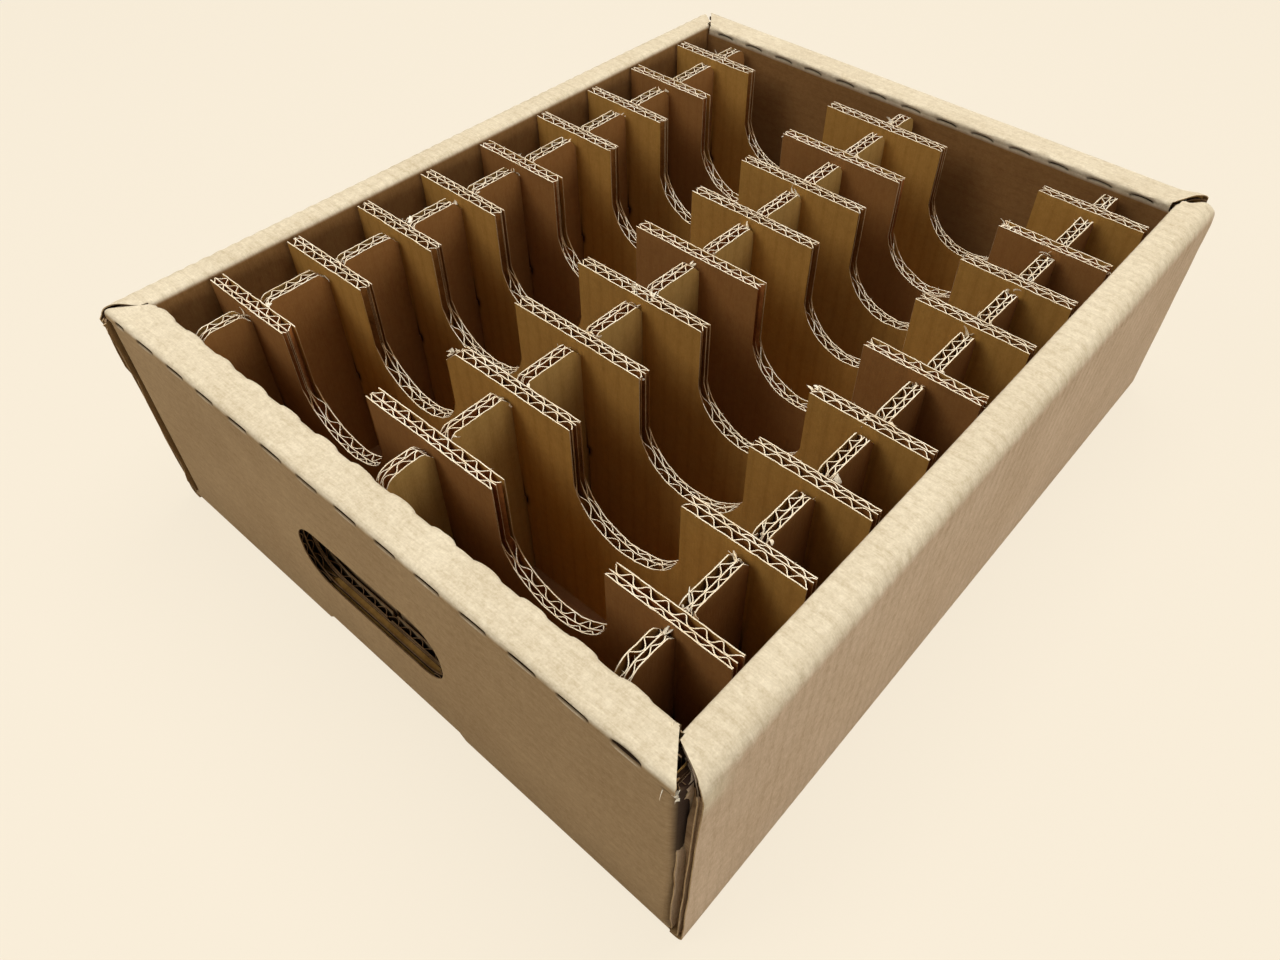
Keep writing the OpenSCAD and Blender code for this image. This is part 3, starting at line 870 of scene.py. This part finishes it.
def end_tail(point, normal):
    """Where the columns beyond an end's middle lie, and whether they wrap round the upright fold."""
    d, z = point
    if normal[0] > 0.5 and z > FOOT_Z:
        limit = INNER_W / 2 - LAP if z < FLAP_HIGH else END_INNER_TOP
    elif z > END_RIM_Z:
        limit = float(np.interp(d, [0.8, 17.2], END_RIM))
    elif z < FLAP_LOW:
        straight = END_TURN + (END_BASE - END_TURN) * ramp(END_TAIL, END_TURN, END_ARC)
        return np.where(END_TAIL > END_TURN, straight, END_TAIL) + 0.004 * np.arange(len(END_TAIL)), False
    elif z > FLAP_HIGH:
        limit = END_PANEL_TOP
    else:
        return END_TAIL, True
    return np.linspace(END_EVEN, limit, len(END_TAIL) + 1)[1:], False


def wrapped(u, d, depth):
    """A row of columns whose outer parts run round the upright folds, as places across and inward."""
    past = np.clip((np.abs(u) - END_TURN) / CORNER_FOLD, 0, math.pi / 2)
    run = np.maximum(np.abs(u) - END_TURN - END_ARC, 0)
    r = max(CORNER_FOLD - depth, 0.3)
    beyond = np.abs(u) > END_TURN
    return (np.where(beyond, np.sign(u) * (END_TURN + r * np.sin(past)), u),
            np.where(beyond, CORNER_FOLD - r * np.cos(past) + run + (d - depth), d))


def slit_relief(away, opening, gape):
    """What the outer fold's slits do to a row: how far they push it, how much painted shade lies in them, and
    how pale they make it.
    """
    groove = bell(away, 0.54 + 0.7 * gape * opening)
    lip = bell(away - 1.1 - 0.9 * gape, 0.36)
    return ((-2.0 * groove + 0.4 * lip) * opening, np.minimum(1.8 * groove, 1) * (opening > 0.15),
            lip * np.minimum((0.8 + gape) * opening, 1))


def scallop_relief(away, opening, flutter):
    """What the inner fold's slits do to a row: how far they dent it, how much painted shade lies in the dent,
    and its bulge.
    """
    crest = bell(away - 2.9, 1.9)
    groove = bell(away + 0.9 - 1.5 * opening, 0.55)
    return groove * opening, groove * (opening > 0.25), crest * (1.3 * opening + 0.22 * flutter + 0.2)


def end_wall(name, half_turn, seed, shift, gaping, lift):
    """An end: outer panel with its corner flaps, rim strip with slits, inner panel and hand hole.
    Its outer liner is one piece, and what lies inside the fold is another."""
    source = np.random.default_rng(seed)
    lengths = path_lengths(END_PATH)
    outer_fold = max(k for k, p in enumerate(END_PATH) if p.kind == "fold" and p.point[1] > 60)
    inner_fold = min(k for k, p in enumerate(END_PATH) if p.kind == "fold" and p.point[0] > 9)
    past_slit, past_scallop = lengths - (lengths[outer_fold] - 0.1), lengths - (lengths[inner_fold] - 0.9)
    meshes = []
    for kind, low, high in TRAY_LAYERS:
        skin, liner = low == 0.0, kind == "liner"
        path = END_PATH if skin else END_CORE_PATH
        columns = END_MIDDLE if skin else np.linspace(-END_EVEN, END_EVEN, 3)
        back_off = 0.0 if liner else FLUTE_BACK
        under = [p.point[1] < FLAP_LOW and p.normal[0] < 0.5 for p in path]
        rows, wraps = [], []
        for k, (_, point, normal, _) in enumerate(path):
            side, wrap = end_tail(point, normal)
            if not wrap and not under[k]:
                side = side - back_off * np.linspace(0, 1, len(side)) ** 6
            rows.append(np.concatenate([-side[::-1], columns, side]))
            wraps.append(wrap)
        u = np.stack(rows)
        opening = slit_shape(u[0], SLIT_COUNT, shift, source)
        inner_opening = slit_shape(u[0], SLIT_COUNT - 1, shift, source)
        gape = np.exp(-((u[0] - gaping) / 6.5) ** 4) if gaping else np.zeros(u.shape[1])
        tremble, flutter = wander(u.shape[1], 12, source), wander(u.shape[1], 3, source)
        # Painted shade in the slits, in the inner fold's dents and round the corner folds
        dark = np.zeros(u.shape)
        # Upward faces, and the inner panel above the rim height, are painted paler as lit; the lips beside
        # the slits are paler too.
        pale = np.array([max(rim_share(p.normal), ramp(p.point[1], RIM_Z, 1.8) * (p.normal[0] > 0))
                         for p in path])[:, None] * np.ones(u.shape)
        height = np.array([ramp(p.point[1], 113, 8) for p in path])[:, None]
        grids = []
        for depth in (low, high):
            section = path_at_depth(path, depth)
            d = np.broadcast_to(section[:, :1], u.shape).copy()
            z = np.broadcast_to(section[:, 1:], u.shape).copy()
            x = u.copy()
            for k, (_, point, normal, _) in enumerate(path):
                past = np.abs(u[k]) - END_TURN
                if under[k]:
                    x[k] -= np.sign(u[k]) * depth * ramp(past, 0.0, 5.0)
                if wraps[k]:
                    x[k], d[k] = wrapped(u[k], d[k], depth)
                if not skin:
                    continue
                push, slit, lip = slit_relief(past_slit[k], opening, gape)
                dent, fold, bulge = scallop_relief(past_scallop[k], inner_opening, flutter)
                d[k] += normal[0] * (push - dent) + bulge
                z[k] += normal[1] * (push - dent)
                pale[k] = np.maximum(pale[k], lip)
                dark[k] = np.maximum.reduce([dark[k], slit, fold])
                if wraps[k]:
                    # Painted shade where the end turns round its upright fold, deepest toward the rim
                    hidden = float(np.interp(point[1], [0, 60, 75, 100], [0.35, 0.5, 0.95, 1.0]))
                    dark[k] = np.maximum(dark[k], hidden * ramp(past, 3.0, 3.0))
                elif FLAP_HIGH < point[1] <= END_RIM_Z:
                    # Painted shade in the corner between the flap's top and the rim strip
                    dark[k] = np.maximum(dark[k], ramp(past, -1.0, 2.0))
                if point[1] > UPPER_Z:
                    d[k] += 0.15 * tremble * abs(normal[0])
                    z[k] += 0.12 * tremble * max(normal[1], 0)
            arch = np.clip(1 - 0.6 * ((d - WALL / 2) / (WALL / 2)) ** 2, 0.2, 1)
            z += lift * arch * height * ramp(-u, END_EVEN, 9) ** 1.3
            grids.append(np.stack([x, -HALF_L + d, z], -1))
        points, faces, which = closed_sheet(*grids, row_kinds(path) if skin else None)
        sheet = np.stack([twice(np.broadcast_to(path_lengths(path)[:, None], u.shape)), twice(u)], -1)
        finishes = ([SHADED_END_LINER, BACK_LINER, TRAY_CUT, SHADED_INSIDE_LINER] if skin
                    else [PAINTED_SHADE_CORE, BACK_LINER if high == BOARD else PAINTED_SHADE_CORE, PAINTED_SHADE_CORE])
        marks = {"slit": np.clip(twice(dark), 0, 1), "rim": twice(pale)} if skin else None
        mesh = new_mesh(name, points, faces, finishes, which, sheet, marks)
        grow, edge, longer = 0.0, SHADED_HOLE_CUT, 0.0
        if not liner:
            grow, edge, longer = SMALL_HOLE_BACK if low == SMALL_GAP[0] else LARGE_HOLE_BACK, TROUGH, 6.0
        meshes.append(soften(cut_by(mesh, hole_cutter(grow, edge, longer), notch_cutter(grow, edge))))
    meshes += tucked_flaps() + hole_flutes(seed)
    if half_turn:
        for mesh in meshes:
            mesh.transform(Matrix.Rotation(math.pi, 4, "Z"))
    return new_object(name, meshes[0]), joined(name + "_inside", meshes[1:])


# Hand holes

CUTTER_START = -HALF_L - 8
FLAP_BACK = -HALF_L + 2 * BOARD + LAP


def hole_outline(grow, longer=0.0):
    """Rounded outline of the hand hole as (x, z) points, with its outward normals."""
    w, h, r = HOLE_W / 2 + grow + longer, HOLE_H / 2 + grow, HOLE_R + grow
    points, normals = [], []
    for k, (sx, sz) in enumerate(((1, 1), (-1, 1), (-1, -1), (1, -1))):
        for f in np.linspace(0, math.pi / 2, 14):
            a = f + k * math.pi / 2
            n = np.array([math.cos(a), math.sin(a)])
            points.append(np.array([sx * (w - r), HOLE_Z + sz * (h - r)]) + r * n)
            normals.append(n)
    return np.array(points), np.array(normals)


def evenly(points, normals, step):
    """A closed outline and its normals at even steps."""
    loop, turn = np.vstack([points, points[:1]]), np.vstack([normals, normals[:1]])
    run = np.concatenate([[0], np.cumsum(np.linalg.norm(np.diff(loop, axis=0), axis=1))])
    at = np.linspace(0, run[-1], int(run[-1] / step) + 1)
    return [np.stack([np.interp(at, run, values[:, k]) for k in (0, 1)], -1) for values in (loop, turn)]


def at_y(outline, y):
    """An (x, z) outline at a place along Y."""
    return np.stack([outline[:, 0], np.full(len(outline), y), outline[:, 1]], -1)


def prism(outline, y0, y1, finish):
    """A closed prism of an (x, z) outline that runs counter-clockwise, between two places along Y."""
    n = len(outline)
    faces = [list(range(n)), list(range(2 * n - 1, n - 1, -1))]
    faces += [[(k + 1) % n, k, n + k, n + (k + 1) % n] for k in range(n)]
    return new_mesh("cutter", np.concatenate([at_y(outline, y0), at_y(outline, y1)]), faces, [finish])


def hole_cutter(grow, finish, longer=0.0):
    """The hand hole goes through the outer panel and the tucked flaps, not the inner panel."""
    return prism(hole_outline(grow, longer)[0], CUTTER_START, -HALF_L + 2 * BOARD + 1.5 * LAP, finish)


def notch_cutter(grow, finish):
    """The slot across an end's bottom fold."""
    w, h, below = NOTCH_W / 2 + grow, NOTCH_H + grow, -6.0
    outline = np.array([(w + NOTCH_H, below), (w + NOTCH_H, 0.0), (w, h), (-w, h), (-w - NOTCH_H, 0.0),
                        (-w - NOTCH_H, below)])
    return prism(outline, CUTTER_START, -HALF_L + BOARD + 0.1, finish)


def cut_by(mesh, *cutters):
    """The mesh with the cutters taken out of it, one after the other."""
    piece = new_object("cut", mesh)
    tools = [new_object("tool", cutter) for cutter in cutters]
    for tool in tools:
        modifier = piece.modifiers.new("cut", "BOOLEAN")
        modifier.operation, modifier.solver, modifier.object = "DIFFERENCE", "EXACT", tool
        modifier.material_mode = "TRANSFER"
    return settled(piece, *tools)


def tucked_flaps():
    """The two flaps between an end's panels, with the hand hole through them."""
    meshes = []
    for side in (-1, 1):
        for kind, low, high in TRAY_LAYERS:
            liner = kind == "liner"
            x = side * np.linspace(1.5 + (0 if liner else FLUTE_BACK), INNER_W / 2 + 4, 8)
            grid_x, grid_z = np.meshgrid(x, np.linspace(FLAP_LOW, FLAP_HIGH, 8), indexing="ij")
            grids = [np.stack([grid_x, np.full_like(grid_x, FLAP_BACK - depth), grid_z], -1)
                     for depth in (low, high)]
            points, faces, which = closed_sheet(*grids)
            finishes = [BACK_LINER, SHADED_END_LINER, TRAY_CUT] if liner else [PAINTED_SHADE_CORE] * 3
            mesh = new_mesh("tucked_flap", points, faces, finishes, which, points[:, [0, 2]])
            meshes.append(cut_by(mesh, hole_cutter(0.0, SHADED_HOLE_CUT) if liner else hole_cutter(7.0, PAINTED_SHADE_CORE)))
    return meshes


def hole_flutes(seed):
    """Fluted sheets that show in the cut edge of the hand hole: across the outer panel's flutes only at
    the hole's round ends, and all round in the tucked flaps."""
    outline, normals = evenly(*hole_outline(0.5), 0.55)
    quarter = len(outline) // 2 // 2
    outline, normals = np.roll(outline[:-1], quarter, 0), np.roll(normals[:-1], quarter, 0)
    meshes = []

    def ribbons(part, face, way, along, reach, number, flutes):
        """Narrow fluted sheets that run along the cut edge and reach into the board."""
        play, paper, uneven = 0.4, 0.32, 0.1
        for (low, high), wave in flutes:
            edge = at_y(outline[part], face + way * (low + high) / 2)
            points = np.stack([edge, edge + reach * at_y(normals[part], 0.0)])
            blank = blank_mesh("ribbon", points, np.tile(along[part], 2))
            meshes.append(corrugated(blank, wave, high - low - play, paper, seed + 3 * number + low, PAINTED_SHADE_CORE,
                                     SHADED_HOLE_CUT, SHADED_HOLE_CUT, uneven))

    small, large = (SMALL_GAP, SMALL_WAVE), (LARGE_GAP, LARGE_WAVE)
    for number, side in enumerate((-1, 1)):
        part = np.nonzero(side * normals[:, 0] > 0.3)[0]
        breaks = np.nonzero(np.diff(part) > 1)[0]
        for piece in np.split(part, breaks + 1):
            if len(piece) > 3:
                ribbons(piece, -HALF_L, 1, outline[:, 1], 4.0, number, (small, large))
    ribbons(np.arange(len(outline)), FLAP_BACK, -1, outline[:, 0], 5.5, 5, (large,))
    return meshes


# Base

def box_mesh(low, high, finish):
    outline = np.array([(high[0], low[2]), (high[0], high[2]), (low[0], high[2]), (low[0], low[2])])
    return prism(outline, low[1], high[1], finish)


def tray_base():
    """The base between the bottom folds, with the slots that take the lock tabs, and the tabs."""
    meshes = []
    inner = HALF_L - WALL
    half = TAB_W / 2 + LAP
    below, above, tab_top = -3.0, 9.0, FLAP_LOW + 0.4
    for kind, low, high in TRAY_LAYERS:
        liner = kind == "liner"
        x = np.linspace(-HALF_W + SIDE_UNDER, HALF_W - SIDE_UNDER, 9)
        y = np.linspace(-HALF_L + END_UNDER, HALF_L - END_UNDER, 9)
        grid_x, grid_y = np.meshgrid(x, y, indexing="ij")
        grids = [np.stack([grid_x, grid_y, np.full_like(grid_x, depth)], -1) for depth in (low, high)]
        points, faces, which = closed_sheet(*grids)
        finishes = [SIDE_LINER, SHADED_FLOOR_LINER, TRAY_CUT] if liner else [PAINTED_SHADE_CORE] * 3
        mesh = new_mesh("tray_base", points, faces, finishes, which, points[:, [1, 0]])
        edge, short = (TRAY_CUT, 0.0) if liner else (PAINTED_SHADE_CORE, 1.6)
        slots, tabs = [], []
        for s in (-1, 1):
            near, far = sorted((s * (inner - LAP), s * (inner + BOARD + LAP + 0.2)))
            slots.append(box_mesh((-half, near, below), (half, far, above), edge))
            near, far = sorted((s * (inner + low), s * (inner + high)))
            tabs.append(box_mesh((-TAB_W / 2 + short, near, short), (TAB_W / 2 - short, far, tab_top), edge))
        meshes += [cut_by(mesh, *slots), *tabs]
    return joined("tray_base", meshes)


# Torn places on the tray's corners: where, how many slivers, how long and which way they lean
CORNER_WEAR = (((161.0, -204.6, 117.2), 6, 2.4, (0.3, -0.8, -0.2)),
               ((149.5, -190.0, 123.4), 2, 1.8, (0.3, 0.3, 0.4)),
               ((-158.0, -203.5, 121.0), 3, 1.8, (-0.3, -0.5, 0.2)),
               ((153.5, 196.0, 122.5), 4, 2.2, (0.3, 0.3, 0.4)))


def corner_wear():
    """Fluff at the corners of the rim, and a loose fibre at the near right one."""
    source = np.random.default_rng(77)
    meshes = []
    for place, count, reach, lean in CORNER_WEAR:
        meshes += torn_spot(place, count, reach, source, lean)
    meshes.append(sliver((157.0, -206.1, 118.0), (-0.2, -0.1, -1.0), 3.6, 0.3, 2.0, source))
    return joined("corner_fluff", meshes)


# Build the pieces

for number in range(1, 10):
    cross_divider(number)
long_divider("long_divider_left", -LONG_X, False, 201, 5.0)
long_divider("long_divider_middle", 0.0, True, 202)
long_divider("long_divider_right", LONG_X, False, 203)

TRAY_PIECES = [long_side("tray_side_left", False, 301, (0.0, 0.6), (1.0, 0.0)),
               long_side("tray_side_right", True, 302, (1.0, 5.5), (0.0, 0.0)),
               *end_wall("tray_end_near", False, 303, -4.5, 142.4, 0.0),
               *end_wall("tray_end_far", True, 304, 1.0, None, 2.6),
               tray_base(), corner_wear()]
for piece in TRAY_PIECES:
    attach(piece, "root")
    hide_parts("tray")


# Studio

CREAM = colour(248, 237, 217)


def seen_directly(g):
    """1 for rays from the camera, a mirror or glass, and 0 for others."""
    rays = g.add("ShaderNodeLightPath").outputs
    return g.math("MAXIMUM", rays["Is Camera Ray"],
                  g.math("MAXIMUM", rays["Is Glossy Ray"], rays["Is Transmission Ray"]))


def studio_floor():
    """A plain cream floor that keeps a soft shadow."""
    size, low = 30000.0, -0.2
    points = [(-size, -size, low), (size, -size, low), (size, size, low), (-size, size, low)]
    finish, g, shader = new_finish("cream_floor")
    g.feed(shader, {"Base Color": colour(200, 188, 168), "Roughness": 1.0, "Specular IOR Level": 0.0})
    glow = g.out("ShaderNodeEmission", {"Color": CREAM, "Strength": 1.06})
    share = g.math("MULTIPLY", seen_directly(g), 0.86)
    blend = g.out("ShaderNodeMixShader", {0: share, 1: shader.outputs[0], 2: glow})
    g.feed(finish.node_tree.nodes["Material Output"], {0: blend})
    floor = new_object("studio_floor", new_mesh("studio_floor", points, [(0, 1, 2, 3)], [finish]))


def studio_room():
    """A dim room for light, with a cream backdrop where it is seen."""
    world = bpy.data.worlds.new("studio")
    bpy.context.scene.world = world
    world.use_nodes = True
    g, nodes = Graph(world.node_tree), world.node_tree.nodes
    room = nodes["Background"]
    g.feed(room, {"Color": (1.0, 0.98, 0.95, 1.0), "Strength": 0.14})
    backdrop = g.out("ShaderNodeBackground", {"Color": CREAM, "Strength": 1.0})
    blend = g.out("ShaderNodeMixShader", {0: seen_directly(g), 1: room.outputs[0], 2: backdrop})
    g.feed(nodes["World Output"], {0: blend})


def soft_lamp(name, place, target, size, power):
    lamp = bpy.data.lights.new(name, "AREA")
    lamp.shape, lamp.size, lamp.energy = "SQUARE", size, power
    holder = new_object(name, lamp)
    holder.location = place
    holder.rotation_euler = (Vector(target) - Vector(place)).to_track_quat("-Z", "Y").to_euler()


def studio_camera():
    """The camera, as it was fitted to the photo."""
    camera = bpy.data.cameras.new("camera")
    camera.sensor_width, camera.lens = 36.0, 27.35
    camera.shift_x, camera.shift_y = -0.0231, -0.0101
    camera.clip_start = 0.01
    holder = new_object("camera", camera)
    place = (0.23414, -0.29885, 0.38979)
    right, up, ahead = (Vector((0.755439, 0.655009, 0.016603)), Vector((-0.492907, 0.551422, 0.673036)),
                        Vector((-0.431689, 0.516621, -0.739424)))
    holder.matrix_world = Matrix.Translation(place) @ Matrix((right, up, -ahead)).transposed().to_4x4()
    bpy.context.scene.camera = holder


studio_floor()
soft_lamp("overhead_softbox", (0.0, 0.3, 1.65), (0, 0, 0.1), 1.2, 27.5)
soft_lamp("front_softbox", (-0.6, -1.1, 1.15), (0, 0, 0.1), 0.8, 8.5)
soft_lamp("low_right_fill", (2.4, 0.0, 0.41), (0, 0, 0.07), 0.55, 14.8)
studio_room()
bpy.context.scene.view_settings.view_transform = "Standard"
studio_camera()
